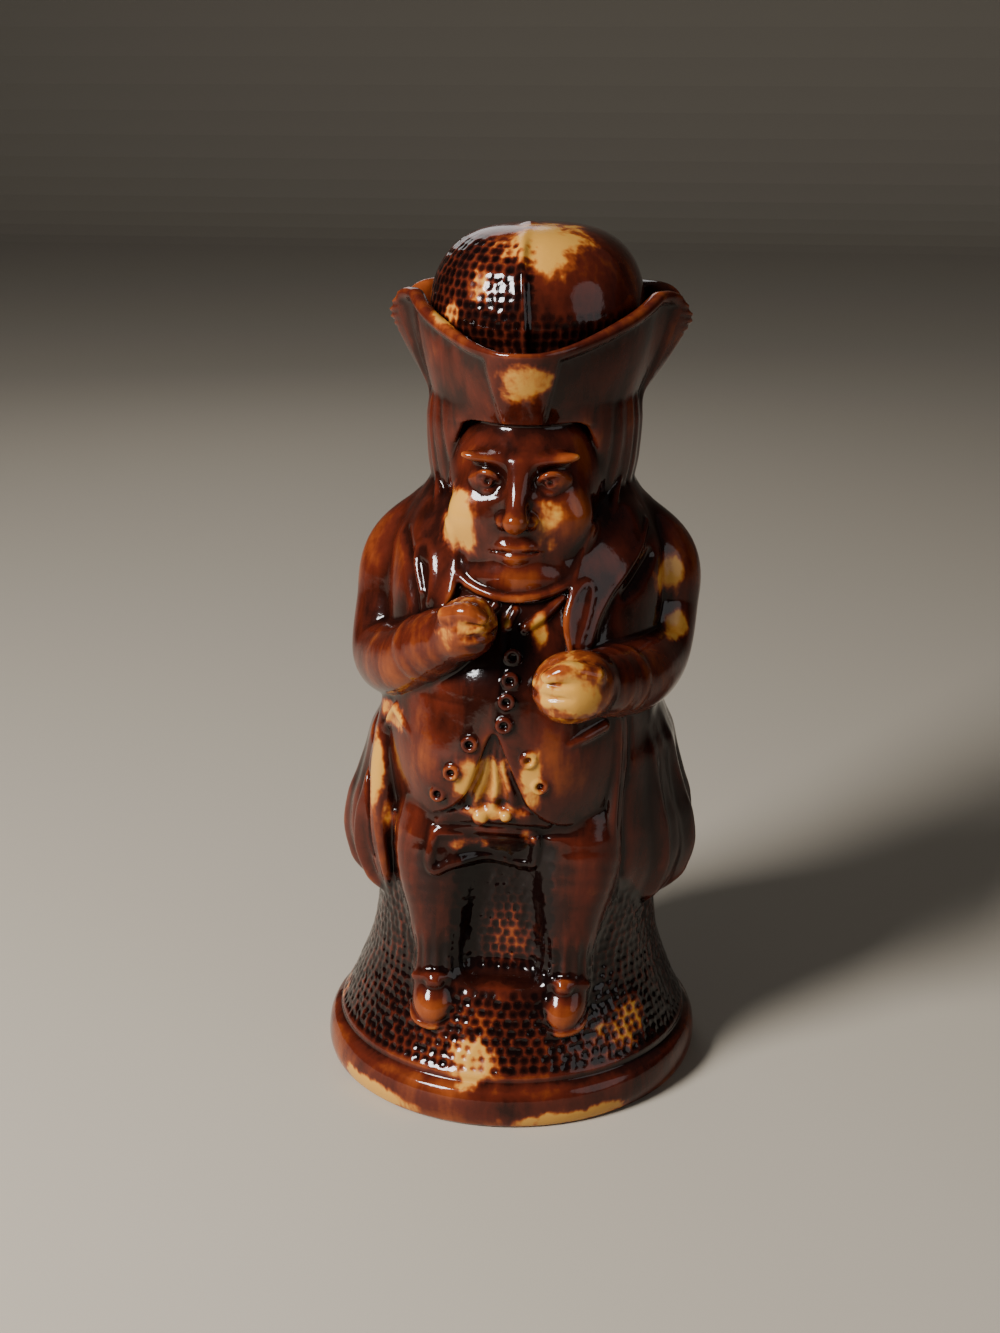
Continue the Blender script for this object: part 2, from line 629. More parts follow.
# Arms and fists
arms = {
    "right": [(27, 2, 166, 11), (35.5, 2, 155, 13.4), (37.2, 0, 143, 12.4), (36.6, -9, 131.5, 11.6),
    (33, -27, 130.5, 10.8), (27.5, -41, 133, 9.4), (21, -53, 136.2, 8.4)],
    "left": [(-27, 2, 166, 11), (-35.5, 2, 155, 13.4), (-38, 0, 142, 12.6), (-38.4, -8, 129, 11.8),
    (-31, -27, 133, 10.6), (-22, -40, 141.5, 9), (-13, -49, 148, 7.6)],
    "rightFist": [((17.4, -57, 136.4), (10, 9.2, 9.8)), ((21, -55, 136.4), (8.6, 8.4, 9))],
    "leftFist": [((-10.6, -51.4, 150.4), (7.8, 8.2, 8.6)), ((-13, -49.4, 149), (6.6, 7, 7.6))],
    "foldPlaces": (0.8, 0.835, 0.87, 0.905), "foldHeight": 0.5,
}


def sleeveFolds(t):
    height = np.zeros(t.shape)
    for place in arms["foldPlaces"]:
        height += arms["foldHeight"] * bump(t, place, 0.011)
    return height


def fist(clay, blobs, side):
    # A closed hand: two eggs for the fist, shallow grooves between the fingers, and the thumb over them
    for centre, radii in blobs:
        clay.add(egg(centre, radii), 2.2)
    (x, y, z), (a, b, c) = blobs[0]
    thumb = [(x + side * a * 0.7, y - b * 0.45, z + c * 0.5, 2.6), (x, y - b * 0.72, z + c * 0.68, 2.7),
        (x - side * a * 0.5, y - b * 0.72, z + c * 0.45, 2.3)]
    clay.add(limb(thumb, 8), 1.6)
    for row in (-0.48, -0.04, 0.36):
        groove = [(x - side * a * 0.98, y - b * 0.1, z + c * row, 0.55),
            (x - side * a * 0.72, y - b * 0.72, z + c * row, 0.6),
            (x + side * a * 0.1, y - b * 1.0, z + c * row * 0.9, 0.4)]
        clay.cut(limb(groove, 8), 1.3)


def makeArms(clay):
    for name in ("right", "left"):
        clay.add(limb(arms[name], 70, fold=sleeveFolds), 1.4)
    for name, side in (("rightFist", 1), ("leftFist", -1)):
        fist(clay, arms[name], side)


# The head, with a face set out from its chin and its height
head = {
    "chin": 156, "height": 62, "front": 40, "halfWidth": 22,
    "hairHalfWidth": 30.3, "hairFront": 33.5, "hairBack": 33, "hairEnd": 170,
    "strands": 30, "strandDepth": 0.55,
}


def pair(centre, radii, tilt=0, roll=0):
    x, y, z = centre
    return [egg((side * x, y, z), radii, tilt, side * roll) for side in (1, -1)]


def makeFace(clay):
    chin, front = head["chin"], head["front"]
    eyes = chin + head["height"] / 2
    noseBase = chin + head["height"] * 0.3
    mouth = chin + head["height"] * 0.2
    clay.add(egg((0, 27 - front, 183.5), (head["halfWidth"], 27, 27.5)), 2)
    clay.add(egg((0, 20 - front, chin + 13), (head["halfWidth"] - 3.4, 19.5, 13)), 5)
    for cheek in pair((11, 8.6 - front, noseBase + 1.8), (8.6, 6.4, 8.2)):
        clay.add(cheek, 5)
    clay.add(egg((0, 6 - front, chin + 5), (7.4, 5.6, 4.8)), 4)
    for brow in pair((9.4, 3.6 - front, eyes + 6.2), (6.8, 2.6, 1.7), 0, -8):
        clay.add(brow, 3)
    for socket in pair((9.2, 0.2 - front, eyes + 0.6), (5.8, 4.2, 3.7)):
        clay.cut(socket, 3)
    for ball in pair((9.1, 6.5 - front, eyes + 0.2), (4.9, 4.6, 3.7)):
        clay.add(ball, 0.5)
    for side in (1, -1):
        lid = [(side * 4.7, 3.5 - front, eyes - 0.4, 0.7), (side * 7, 1.9 - front, eyes + 2, 0.85),
            (side * 10, 2.3 - front, eyes + 2.5, 0.85), (side * 13.4, 5 - front, eyes + 0.2, 0.7)]
        clay.add(limb(lid, 12), 0.7)
        under = [(side * 5.2, 3.2 - front, eyes - 1, 0.5), (side * 8.6, 2.5 - front, eyes - 2.7, 0.65),
            (side * 12.6, 4.8 - front, eyes - 1.4, 0.5)]
        clay.add(limb(under, 10), 0.7)
        iris = (side * 8.6, 1.95 - front, eyes + 0.1)
        clay.add(ringShape(iris, (side * 0.12, -1, 0), 1.25, 0.38), 0.25)
        clay.cut(egg((iris[0], iris[1] - 0.1, iris[2]), (0.7, 0.8, 0.7)), 0.2)
    nose = [(0, 3.2 - front, eyes + 4.5, 2.6), (0, 1 - front, eyes - 1.5, 2.5),
        (0, -1.6 - front, noseBase + 5, 3), (0, -2.9 - front, noseBase + 2.8, 3.5)]
    clay.add(limb(nose, 12), 2.4)
    for wing in pair((3.3, 0.2 - front, noseBase + 2.2), (2.3, 2.7, 2.1)):
        clay.add(wing, 1.2)
    for nostril in pair((1.7, -2.2 - front, noseBase - 0.5), (0.9, 1.3, 0.8)):
        clay.cut(nostril, 0.6)
    upper = [(-7, 3.4 - front, mouth, 0.6), (-3, 0.9 - front, mouth + 1.1, 1.3),
        (0, 0.5 - front, mouth + 0.8, 1.2), (3, 0.9 - front, mouth + 1.1, 1.3),
        (7, 3.4 - front, mouth, 0.6)]
    clay.add(limb(upper, 16), 1.2)
    lower = [(-5.6, 2.8 - front, mouth - 0.8, 0.6), (0, 0.7 - front, mouth - 1.8, 1.8),
        (5.6, 2.8 - front, mouth - 0.8, 0.6)]
    clay.add(limb(lower, 14), 1.2)
    parting = [(-7.4, 2.6 - front, mouth - 0.1, 0.35), (0, -0.7 - front, mouth - 0.3, 0.4),
        (7.4, 2.6 - front, mouth - 0.1, 0.35)]
    clay.cut(limb(parting, 14), 0.5)


def makeHair(clay):
    wide, front, back, end = head["hairHalfWidth"], head["hairFront"], head["hairBack"], head["hairEnd"]
    levels = [(end, wide - 3, 22, back - 2.5), (end + 8, wide - 2, 25.5, back - 0.6),
        (end + 18, wide - 0.4, 29.5, back + 0.6),
              (end + 28, wide, front, back), (206, wide - 1, front + 1, back - 1.4)]
    body = stack(levels, end, 205, 2)

    def distance(x, y, z):
        turn = np.arctan2(x, -y)
        wave = turn * head["strands"] + 0.5 * np.sin(z * 0.16) + 0.8 * np.sin(turn * 5)
        lock = np.abs(np.sin(wave / 2)) + 0.35 * np.abs(np.sin(wave * 0.81 + 1))
        shell = body.distance(x, y, z) - head["strandDepth"] * (lock - 0.8)
        # the opening for the face
        window = (np.hypot(x / 20.6, (z - 182) / 31) - 1) * 20
        front = np.where(y < 0, window, 9)
        return -blendMin(-shell, front, 2.2)

    clay.add(Shape(distance, body.low - 1, body.high + 1), 1.2)


# The cocked hat
hat = {
    "base": 203, "frontEdge": 223.2, "sideEdge": 234.2, "tipDip": 8.0, "prow": 47.4, "tipReach": 43.6,
    "around": 36.4,
    "wall": 4.6, "wellFloor": 218, "wellRadius": 30.4, "tipTurn": 98,
    "border": 1.25, "borderWidth": 3.4, "rope": 2.3,
}


def brimShape(turn):
    reach = hat["around"] + (hat["prow"] - hat["around"]) * bump(turn, 0, 25)
    reach = (
        reach + (hat["tipReach"] - hat["around"]) * bump(turn, hat["tipTurn"], 14)
        + 2.4 * bump(turn, 180, 50)
    )
    rise = hat["frontEdge"] + (hat["sideEdge"] - hat["frontEdge"]) * np.clip((turn - 6) / 68, 0, 1) ** 1.25
    rise = rise - hat["tipDip"] * bump(turn, hat["tipTurn"], 8.5) - 3 * bump(turn, 180, 40)
    return reach, rise


def hatDistance(x, y, z):
    turn = np.abs(np.degrees(np.arctan2(x, -y)))
    far = np.hypot(x, y)
    reach, rise = brimShape(turn)
    angle = np.radians(turn)
    deep = np.where(turn < 90, 36.0, 31.5)
    headRadius = 1 / np.hypot(np.sin(angle) / 29.4, np.cos(angle) / deep)
    share = np.clip((z - hat["base"]) / (rise - hat["base"]), -0.2, 1.2)
    outer = headRadius + (reach - headRadius) * share + 0.8 * np.sin(np.pi * np.clip(share, 0, 1))
    slant = np.sqrt(1 + ((reach - headRadius) / (rise - hat["base"])) ** 2)
    # raised borders round the flat panels, and strokes across the corners
    up = (rise - z) / slant * 1.15
    inner = 9 + 5 * share
    keel = np.radians(turn - inner) * far
    corner = np.radians(hat["tipTurn"] - 11 - turn) * far
    panel = np.minimum(up - hat["borderWidth"], np.minimum(keel, corner))
    rough = -hat["border"] * ease(panel, -0.6, 1.2)
    strokes = (
        0.45 * np.cos((z + 0.35 * far) * 2 * np.pi / hat["rope"]) * bump(turn, hat["tipTurn"] - 2, 9) * (1
        - ease(up, 2.5, 8))
    )
    outside = (far - outer - rough - strokes) / slant
    # the well that the crown sits in
    edge = reach - hat["wall"]
    lip = rise - 1.2
    wellShare = np.clip((z - hat["wellFloor"]) / np.maximum(lip - hat["wellFloor"], 1), 0, 1.3)
    wellRadius = hat["wellRadius"] + np.maximum(edge - hat["wellRadius"], 0) * wellShare**0.8
    well = np.maximum((far - wellRadius) / slant, hat["wellFloor"] - z)
    top = z - rise
    roll = 1.9
    wallSide = (
        np.hypot(np.maximum(outside + roll, 0), np.maximum(top + roll, 0)) - roll
        + np.minimum(np.maximum(outside + roll, top + roll), 0)
    )
    shell = -blendMin(-wallSide, well, 2.4)
    return np.maximum(shell, hat["base"] - 1 - z)


def makeHat(clay):
    clay.add(Shape(hatDistance, [-48, -52, 202], [48, 44, 237]), 2.2)


# Handle and hollow
handle = {
    "path": [(0, 28, 187, 5.4), (0, 44, 190.4, 4.9), (0, 61, 182, 4.7), (0, 67.6, 163, 4.7),
    (0, 65.8, 142, 4.7), (0, 59, 121, 4.8), (0, 49.4, 105, 5), (0, 36, 96, 5.6)],
    "strap": 1.3,
}

hollow = {
    "levels": [
        (8, 43, 41, 43), (10, 45.4, 43.4, 45.4), (13, 46, 43.5, 46), (22, 43.5, 40, 43),
        (35, 37.5, 29, 35), (84, 34.5, 27.5, 31.5),
        (100, 33.5, 36.5, 32.5), (118, 34.5, 41, 34), (140, 34.5, 36.5, 33), (150, 34, 32, 32.5),
        (160, 32, 27.5, 30.5),
        (168, 28, 24, 28.6), (177, 23.5, 23.5, 26.4), (204, 24, 26, 25.4), (213, 23.6, 23.6, 23.6),
        (222, 23.6, 23.6, 23.6),
    ],
}


def makeHandle(clay):
    # wider than it is thick, so the field is squeezed in X
    path = limb(handle["path"], 40)
    strap = handle["strap"]
    clay.add(Shape(lambda x, y, z: path.distance(x / strap, y, z), path.low * [strap, 1, 1],
        path.high * [strap, 1, 1]), 4)
    clay.add(egg((0, 61, 184.6), (4.6, 4.2, 3.4)), 3)  # the thumb rest


def hollowOut(clay):
    clay.cut(stack(hollow["levels"], 8, 222.5, 1.5), 1.2)


def jugField(clay):
    makeBase(clay)
    makeTrunk(clay)
    makeLeg(clay, 1)
    makeLeg(clay, -1)
    makeFronts(clay)
    makeCoat(clay)
    makeHandle(clay)
    makeFace(clay)
    makeHair(clay)
    makeRolls(clay)
    makeArms(clay)
    makeHat(clay)
    hollowOut(clay)
    return clay.d


# The loose crown of the hat
cover = {
    "foot": 218.3, "top": 251.2, "radius": 30.5, "tuck": 1.6, "tuckHeight": 9, "off": -0.6, "full": 3.05,
    "wall": 4.2,
    "ridge": 1.7, "ridgeWidth": 1.25, "ridgeLean": 3.2, "dimplePitch": 2.5, "dimpleDepth": 0.24,
    "dimpleRadius": 1.05,
    "spigot": 22.6, "spigotDrop": 5.5, "bore": 19.6,
}


def coverPits(x, y, z):
    radius, foot = cover["radius"], cover["foot"]
    steep = np.arctan2(np.maximum(z - foot, 0), np.hypot(x, y)) * radius
    deep = dimples(x, y, z, steep, lambda s: radius * np.cos(np.clip(s / radius, 0, 1.5)) + 0.5,
                   cover["dimplePitch"], cover["dimpleRadius"])
    up = (z - foot) / (cover["top"] - foot)
    return (
        deep * ease(up, 0.02, 0.1) * (1 - ease(up, 0.86, 0.96)) * (1
        - 0.92 * ease(x, -1, 3) * ease(up, 0.22, 0.4))
    )


def coverField(clay):
    foot, top, radius = cover["foot"], cover["top"], cover["radius"]
    height = top - foot
    x, y, z = clay.x, clay.y, clay.z
    middle = np.hypot(x, y)
    far = np.hypot(x - cover["off"], y) + cover["tuck"] * (1 - ease(z, foot, foot + cover["tuckHeight"]))
    up = np.maximum(z - foot, 0) / height
    full = cover["full"]

    def dome(radius, height):
        # a dome that is full at the shoulder
        out, rise = far / radius, np.maximum(z - foot, 0) / height
        near = np.maximum((out**full + rise**full) ** (1 / full), 1e-3)
        steep = np.hypot((out / near) ** (full - 1) / radius, (rise / near) ** (full - 1) / height)
        return (near - 1) / np.maximum(steep, 1e-4)

    seam = x + cover["ridgeLean"] * up
    ridge = (
        cover["ridge"] * np.exp(-((seam / cover["ridgeWidth"]) ** 2)) * (1 - ease(y, -2, 3)) * (1
        - 0.9 * ease(up, 0.86, 0.99))
    )
    pits = cover["dimpleDepth"] * coverPits(x, y, z) * (1 - np.exp(-((seam / 2.6) ** 2)))
    outside = dome(radius, height) - ridge + pits
    outside = np.maximum(outside, foot - z)
    thick = cover["wall"]
    shell = np.maximum(outside, -dome(radius - thick, height - thick))
    tube = np.maximum(middle - cover["spigot"], foot - cover["spigotDrop"] - z)
    flange = np.maximum(middle - radius + 3, foot - z)
    sleeve = np.maximum(np.maximum(np.minimum(tube, flange), cover["bore"] - middle), z - foot - 3)
    clay.d = np.minimum(shell, sleeve)
    clay.add(egg((-3.2, -1.4, top - 1.3), (2.1, 4, 1.6)), 1.6)
    return clay.d


# Skinning the field
skin = {
    "voxel": 0.6, "quickVoxel": 1.1, "quickTriangles": 90000, "threads": 4,
    "jugTriangles": 190000, "coverTriangles": 60000,
}


def evaluate(field, x, y, z, reach):
    # Works through the points in bands of height, several at a time
    result = np.empty(x.shape)
    order = np.argsort(z, kind="stable")
    bands = np.array_split(order, max(1, min(96, len(x) // 6000)))

    def work(band):
        result[band] = field(Clay(x[band], y[band], z[band], reach))

    with ThreadPoolExecutor(skin["threads"]) as pool:
        list(pool.map(work, bands))
    return result


def fineField(field, low, high, voxel):
    # Distances on a fine grid, worked out only near the surface, found from two coarser grids
    block = 8
    size = np.ceil((high - low) / (voxel * block)).astype(int) * block + 1
    near = None
    for coarse in (block, block // 2, 2):
        step = voxel * coarse
        count = (size - 1) // coarse
        if near is None:
            cells = np.indices(count).reshape(3, -1).T
        else:
            twice = np.array(np.meshgrid([0, 1], [0, 1], [0, 1], indexing="ij")).reshape(3, -1).T
            cells = (near[:, None, :] * 2 + twice[None]).reshape(-1, 3)
            cells = cells[(cells < count).all(1)]
        centre = low + (cells + 0.5) * step
        reach = step * 0.87 * 1.35 + 0.6
        d = evaluate(field, *centre.T, reach)
        near = cells[np.abs(d) < reach]
    corners = np.array(np.meshgrid([0, 1, 2], [0, 1, 2], [0, 1, 2], indexing="ij")).reshape(3, -1).T
    nodes = (near[:, None, :] * 2 + corners[None]).reshape(-1, 3)
    flat = np.unique(np.ravel_multi_index(nodes.T, size))
    at = np.array(np.unravel_index(flat, size)).T
    d = evaluate(field, *(low + at * voxel).T, voxel * 2.2)
    grid = np.full(size, 99.0, np.float32)
    grid.reshape(-1)[flat] = d
    return signAway(grid, voxel), low


def signAway(grid, voxel):
    # Fills what wasn't worked out with inside or outside, spreading from the known values
    known = grid < 50
    sign = np.where(known, np.sign(grid), 0).astype(np.int8)
    for axis in range(3):
        moved = np.moveaxis(sign, axis, 0)
        for i in range(1, moved.shape[0]):
            blank = moved[i] == 0
            moved[i][blank] = moved[i - 1][blank]
        for i in range(moved.shape[0] - 2, -1, -1):
            blank = moved[i] == 0
            moved[i][blank] = moved[i + 1][blank]
    far = 3 * voxel
    return np.where(known, np.clip(grid, -far, far), far * np.where(sign == 0, 1, sign)).astype(np.float32)


def gridNormals(grid, low, voxel, points):
    # The direction in which the distance grows, read from the fine grid between its nodes
    spot = (points - low) / voxel
    spot = np.clip(spot, 1.01, np.array(grid.shape) - 2.02)
    cell = spot.astype(int)
    part = spot - cell
    normal = np.zeros(points.shape)
    for corner in np.ndindex(2, 2, 2):
        weight = np.prod(np.where(corner, part, 1 - part), axis=1)
        i, j, k = (cell + corner).T
        slope = np.stack([grid[i + 1, j, k] - grid[i - 1, j, k], grid[i, j + 1, k] - grid[i, j - 1, k],
            grid[i, j, k + 1] - grid[i, j, k - 1]], 1)
        normal += weight[:, None] * slope
    return normal / np.maximum(np.linalg.norm(normal, axis=1, keepdims=True), 1e-9)


def edgeTies(mesh):
    edges = np.empty(len(mesh.edges) * 2, int)
    mesh.edges.foreach_get("vertices", edges)
    a, b = edges.reshape(-1, 2).T
    return np.concatenate([a, b]), np.concatenate([b, a])


def skinned(name, field, pits, low, high, triangles):
    voxel = skin["voxel"]
    triangles = triangles
    low, high = np.array(low, float) - 2 * voxel, np.array(high, float) + 2 * voxel
    low[0], high[0] = low[0] - lean * high[2], high[0] - lean * low[2]
    grid, low = fineField(field, low, high, voxel)
    say(f"{name}: field worked out")
    volume = openvdb.FloatGrid(3 * voxel)
    volume.copyFromArray(grid)
    points, corners3, corners4 = volume.convertToPolygons(isovalue=0.0, adaptivity=0.0)
    points = points.astype(float) * voxel + low
    mesh = bpy.data.meshes.new(name)
    mesh.from_pydata(points * mm, [], corners4.tolist())
    piece = bpy.data.objects.new(name, mesh)
    bpy.context.scene.collection.objects.link(piece)
    say(f"{name}: {len(corners4)} squares")
    if len(corners4) * 2 > triangles:
        thin = piece.modifiers.new("thin", "DECIMATE")
        thin.ratio = triangles / (len(corners4) * 2)
        solid = bpy.data.meshes.new_from_object(piece.evaluated_get(bpy.context.evaluated_depsgraph_get()))
        piece.modifiers.clear()
        piece.data = solid
        bpy.data.meshes.remove(mesh)
        mesh = solid
        mesh.name = name
    at = np.empty(len(mesh.vertices) * 3)
    mesh.vertices.foreach_get("co", at)
    at = at.reshape(-1, 3) / mm
    normals = gridNormals(grid, low, voxel, at)
    deep = pits(*at.T)
    lifted = normals.copy()
    at[:, 0] += lean * at[:, 2]
    lifted[:, 2] -= lean * normals[:, 0]
    lifted /= np.linalg.norm(lifted, axis=1, keepdims=True)
    mesh.vertices.foreach_set("co", (at * mm).ravel())
    mesh.update()
    markGlaze(mesh, at, lifted, deep)
    mesh.polygons.foreach_set("use_smooth", np.ones(len(mesh.polygons), bool))
    mesh.normals_split_custom_set_from_vertices(lifted)
    say(f"{name}: {len(mesh.polygons)} faces, {len(mesh.vertices)} points")
    return piece


# How the glaze lies: deep in the hollows, thin on what stands proud
relief = {"fine": 3, "broad": 40}


def markGlaze(mesh, at, normals, pits):
    count = len(at)
    ends, others = edgeTies(mesh)
    ties = np.maximum(np.bincount(ends, minlength=count), 1)[:, None]

    def smoothed(values, rounds):
        for _ in range(rounds):
            total = np.stack([np.bincount(ends, values[others, k], count) for k in range(values.shape[1])], 1)
            values = 0.4 * values + 0.6 * total / ties
        return values

    fine = smoothed(at, relief["fine"])
    broad = smoothed(fine, relief["broad"])
    for name, moved, soften in (("reliefFine", fine, 1), ("reliefBroad", broad, 3)):
        depth = np.sum((moved - at) * normals, axis=1)[:, None]
        depth = smoothed(depth, soften)[:, 0]
        mesh.attributes.new(name, "FLOAT", "POINT").data.foreach_set("value", depth.astype(np.float32))
    mesh.attributes.new("pits", "FLOAT", "POINT").data.foreach_set("value", pits.astype(np.float32))


# Shader nodes written as sums
class Wire:
    # A socket, with the signs of arithmetic adding Math nodes
    def __init__(self, tree, socket):
        self.tree, self.socket = tree, socket

    def mathNode(self, operation, a, b=0.0):
        return self.tree.node("ShaderNodeMath", {"operation": operation}, {0: a, 1: b})

    def __add__(self, other):
        return self.mathNode("ADD", self, other)

    def __radd__(self, other):
        return self.mathNode("ADD", other, self)

    def __sub__(self, other):
        return self.mathNode("SUBTRACT", self, other)

    def __rsub__(self, other):
        return self.mathNode("SUBTRACT", other, self)

    def __mul__(self, other):
        return self.mathNode("MULTIPLY", self, other)

    def __rmul__(self, other):
        return self.mathNode("MULTIPLY", other, self)

    def __neg__(self):
        return self.mathNode("MULTIPLY", self, -1.0)

    def most(self, other):
        return self.mathNode("MAXIMUM", self, other)

    def least(self, other):
        return self.mathNode("MINIMUM", self, other)

    def between(self, low, high):
        # 0 below low, 1 above high, smooth in between
        return self.tree.node("ShaderNodeMapRange", {"interpolation_type": "SMOOTHSTEP"},
                              {"Value": self, "From Min": low, "From Max": high})


class Finish:
    # A material and its nodes
    def __init__(self, name):
        self.material = bpy.data.materials.new(name)
        self.material.use_nodes = True
        self.nodes = self.material.node_tree.nodes
        self.links = self.material.node_tree.links
        self.surface = self.nodes["Principled BSDF"]

    def node(self, kind, settings=None, inputs=None, output=0):
        made = self.nodes.new(kind)
        for name, value in (settings or {}).items():
            if name == "stops":
                self.setStops(made.color_ramp, value)
            else:
                setattr(made, name, value)
        for name, value in (inputs or {}).items():
            self.plug(made.inputs[name], value)
        return Wire(self, made.outputs[output])

    def plug(self, socket, value):
        if isinstance(value, Wire):
            self.links.new(value.socket, socket)
        else:
            socket.default_value = value

    def setStops(self, ramp, stops):
        while len(ramp.elements) > 1:
            ramp.elements.remove(ramp.elements[-1])
        for i, (place, colour) in enumerate(stops):
            element = ramp.elements[0] if i == 0 else ramp.elements.new(place)
            element.position = place
            element.color = (*colour, 1)

    def noise(self, place, scale, detail=2.0, rough=0.5, twist=0.0):
        return self.node("ShaderNodeTexNoise", None, {
            "Vector": place, "Scale": scale, "Detail": detail, "Roughness": rough, "Distortion": twist})

    def stretched(self, place, scale):
        return self.node("ShaderNodeVectorMath", {"operation": "MULTIPLY"}, {0: place, 1: scale})

    def blob(self, place, centre, radii):
        # 0 at the centre of an oval in the object's own space, and 1 at its edge
        away = self.node("ShaderNodeVectorMath", {"operation": "SUBTRACT"},
            {0: place, 1: [v * mm for v in centre]})
        share = self.node("ShaderNodeVectorMath", {"operation": "MULTIPLY"},
            {0: away, 1: [1 / (v * mm) for v in radii]})
        return self.node("ShaderNodeVectorMath", {"operation": "LENGTH"}, {0: share}, 1)


glaze = {
    "pool": (0.0035, 0.001, 0.0008), "dark": (0.016, 0.0032, 0.0018), "red": (0.066, 0.0098, 0.0044),
    "orange": (0.2, 0.042, 0.008), "amber": (0.40, 0.15, 0.022), "buff": (0.46, 0.225, 0.038),
    "roughness": 0.1, "coat": 0.08, "coatRoughness": 0.03, "bend": 1.34,
    "drifts": [  # centre, radii and how much thicker the glaze lies there
        ((0, -44, 80), (32, 16, 26), 0.17), ((0, -40, 58), (38, 15, 30), 0.17),
        ((48, -10, 90), (22, 44, 40), 0.16), ((0, -20, 244), (34, 34, 16), -0.1),
        ((0, -46, 24), (52, 30, 16), -0.15), ((3, -36, 52), (12, 6, 15), -0.42),
        ((0, -50, 5), (60, 30, 8), 0.1),
        ((0, -45, 138), (16, 16, 20), 0.16), ((0, -50, 216), (46, 22, 16), 0.07),
    ],
    "patches": [  # centre and radii, where the buff clay shows through thin glaze
        ((11, -20, 248), (12, 22, 8)), ((-6, -29, 238), (4, 8, 6)), ((-15, -25, 229), (4, 6, 4)),
        ((9, -46, 212), (10, 8, 9)), ((-36, -10, 214), (3, 14, 14)),
        ((-6, -52, 152), (7.5, 9, 7)), ((22, -60, 137), (9.5, 11, 9)),
        ((12.5, -42, 148), (2.6, 5, 6)), ((3, -43, 149), (2, 4, 3)),
        ((46, -8, 156), (5, 14, 7)), ((49, -14, 141), (4, 10, 4)),
        ((-37, -28, 97), (3.2, 12, 14)), ((-32, -30, 116), (7, 14, 4.4)), ((-33, -32, 84), (3, 10, 9)),
        ((11.5, -46, 106), (4, 8, 11)), ((-4.6, -46, 104), (10.5, 9, 8.5)), ((-1, -46, 93.5), (11.5, 8, 3.2)),
        ((9, -44, 82), (2.8, 6, 6.5)), ((-6, -43, 81.5), (9, 6, 3)),
        ((-4.5, -51, 18), (8, 10, 7)), ((-34, -42, 3), (18, 16, 3.4)), ((24, -50, 2.6), (22, 14, 3)),
        ((-53, -8, 20), (4, 14, 6)), ((38, -34, 23), (9, 12, 8)),
        ((-12, -34, 176), (7.5, 12, 10)), ((13.5, -32, 175), (7, 10, 9)),
    ],
}


def glazeFinish():
    f = Finish("treacleGlaze")
    place = f.node("ShaderNodeTexCoord", None, None, 3)
    fine = f.node("ShaderNodeAttribute", {"attribute_name": "reliefFine"}, None, 2)
    broad = f.node("ShaderNodeAttribute", {"attribute_name": "reliefBroad"}, None, 2)
    pits = f.node("ShaderNodeAttribute", {"attribute_name": "pits"}, None, 2)
    drips = f.noise(f.stretched(place, (1, 1, 0.22)), 130, 3, 0.6, 0.4)
    cloud = f.noise(place, 34, 3, 0.55, 0.6)
    speck = f.noise(place, 900, 2, 0.6)
    # how thick the glaze lies, from 0 on bare clay to 1 where it pools
    thick = (
        0.7 + fine.most(-0.45) * 0.75 + broad * 0.06 + (drips - 0.5) * 0.42 + (cloud - 0.5) * 0.5
        + (speck - 0.5) * 0.06
    )
    thick = thick + (pits - 0.35) * 0.42
    for centre, radii, amount in glaze["drifts"]:
        thick = thick + (1 - f.blob(place, centre, radii).between(0.25, 1.1)) * amount
    warp = (
        (f.noise(place, 120, 3, 0.6, 0.3) - 0.5) * 1.5
        + (f.noise(f.stretched(place, (1, 1, 0.2)), 420, 2, 0.5) - 0.5) * 0.5
    )
    bare = None
    for centre, radii in glaze["patches"]:
        edge = f.blob(place, centre, radii)
        bare = edge if bare is None else bare.least(edge)
    bare = 1 - (bare + warp).between(0.5, 1.12)
    thick = thick - bare * (f.noise(place, 210, 4, 0.7, 0.5) * 0.5 + 0.3)
    colour = f.node("ShaderNodeValToRGB", {"stops": [
        (0.0, glaze["buff"]), (0.12, glaze["amber"]), (0.27, glaze["orange"]), (0.45, glaze["red"]),
        (0.62, glaze["dark"]), (0.82, glaze["pool"])]}, {"Fac": thick})
    f.plug(f.surface.inputs["Base Color"], colour)
    ripple = f.noise(place, 170, 2, 0.5) * 0.7 + f.noise(place, 620, 2, 0.5) * 0.3
    f.surface.inputs["Coat Weight"].default_value = glaze["coat"]
    f.surface.inputs["Coat Roughness"].default_value = glaze["coatRoughness"]
    f.surface.inputs["IOR"].default_value = glaze["bend"]
    f.plug(f.surface.inputs["Roughness"], glaze["roughness"] + bare * 0.12 + (cloud - 0.5) * 0.05)
    wavy = f.node("ShaderNodeBump", None, {"Strength": 0.22, "Distance": 0.0006, "Height": ripple})
    f.plug(f.surface.inputs["Normal"], wavy)
    return f.material


def floorFinish():
    f = Finish("paleFloor")
    f.surface.inputs["Base Color"].default_value = (0.39, 0.34, 0.27, 1)
    f.surface.inputs["Roughness"].default_value = 0.75
    return f.material


# Camera, light and floor
studio = {
    "from": (60.4, -530.6, 303.0), "pitch": 18.7, "yaw": 6.86, "lens": 51.3,
    "key": {"place": (-680, -710, 720), "size": 400, "power": 34},
    "fill": {"place": (900, -500, 420), "size": 700, "power": 1.5},
    "back": {"place": (-300, 900, 600), "size": 500, "power": 0.8}, "sky": (0.6, 0.62, 0.66), "skyPower": 0.1,
}


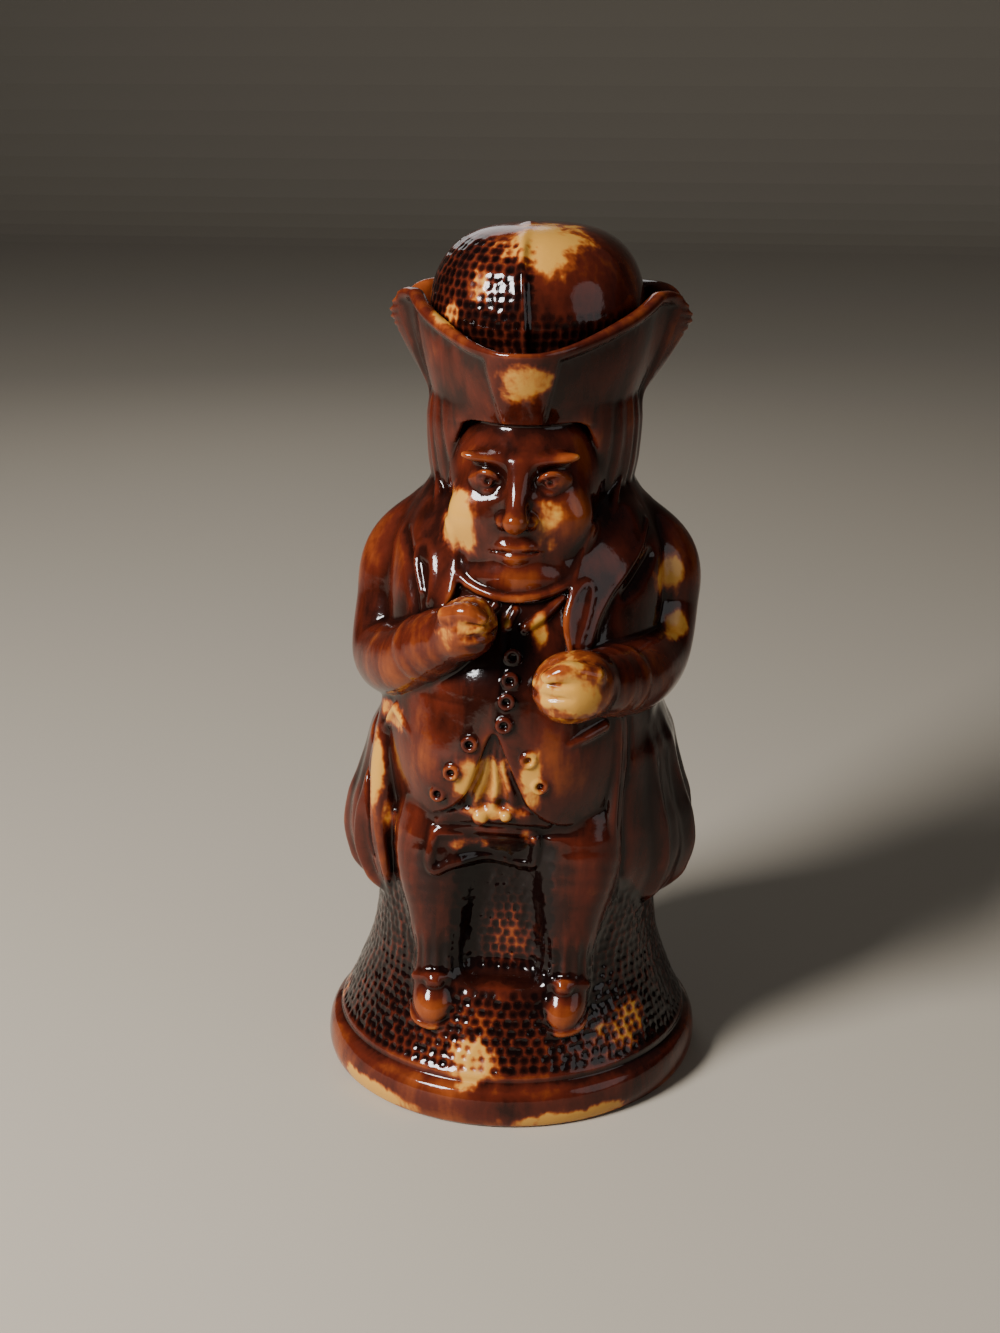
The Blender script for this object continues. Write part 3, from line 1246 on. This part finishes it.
def makeStudio():
    view = bpy.data.cameras.new("camera")
    view.lens, view.sensor_width = studio["lens"], 36
    camera = bpy.data.objects.new("camera", view)
    camera.location = [v * mm for v in studio["from"]]
    camera.rotation_euler = (math.radians(90 - studio["pitch"]), 0,
        math.radians(studio["yaw"]))
    bpy.context.scene.collection.objects.link(camera)
    bpy.context.scene.camera = camera
    aim = Vector((0, 0, 0.12))
    for name in ("key", "fill", "back"):
        given = studio[name]
        lamp = bpy.data.lights.new(name, "AREA")
        lamp.shape, lamp.size, lamp.energy = "DISK", given["size"] * mm, given["power"]
        made = bpy.data.objects.new(name, lamp)
        made.location = [v * mm for v in given["place"]]
        made.rotation_euler = (aim - made.location).to_track_quat("-Z", "Y").to_euler()
        bpy.context.scene.collection.objects.link(made)
    world = bpy.data.worlds.new("studio")
    bpy.context.scene.world = world
    world.use_nodes = True
    world.node_tree.nodes["Background"].inputs["Color"].default_value = (*studio["sky"], 1)
    world.node_tree.nodes["Background"].inputs["Strength"].default_value = studio["skyPower"]
    # the floor sweeps up behind into a plain backdrop
    sweep = (
        [(-30, 0)] + [(2.2 + 1.2 * math.sin(t), 1.2 - 1.2 * math.cos(t)) for t in np.linspace(0,
        math.pi / 2, 25)] + [(3.4, 4)]
    )
    corners = [(x, y, z) for y, z in sweep for x in (-30, 30)]
    strips = [(2 * i, 2 * i + 1, 2 * i + 3, 2 * i + 2) for i in range(len(sweep) - 1)]
    sheet = bpy.data.meshes.new("floor")
    sheet.from_pydata(corners, [], strips)
    floor = bpy.data.objects.new("floor", sheet)
    bpy.context.scene.collection.objects.link(floor)
    floor.data.materials.append(floorFinish())


makeStudio()
jugPiece = skinned("jug_body", jugField, basePitsSeen, jugLow, jugHigh, skin["jugTriangles"])
coverPiece = skinned("hat_crown", coverField, coverPits, coverLow, coverHigh, skin["coverTriangles"])
glazed = glazeFinish()
for piece, node in ((jugPiece, "jug"), (coverPiece, "hat_crown_cover")):
    piece.data.materials.append(glazed)
    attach(piece, "root")
    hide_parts(node)
say("dressed")
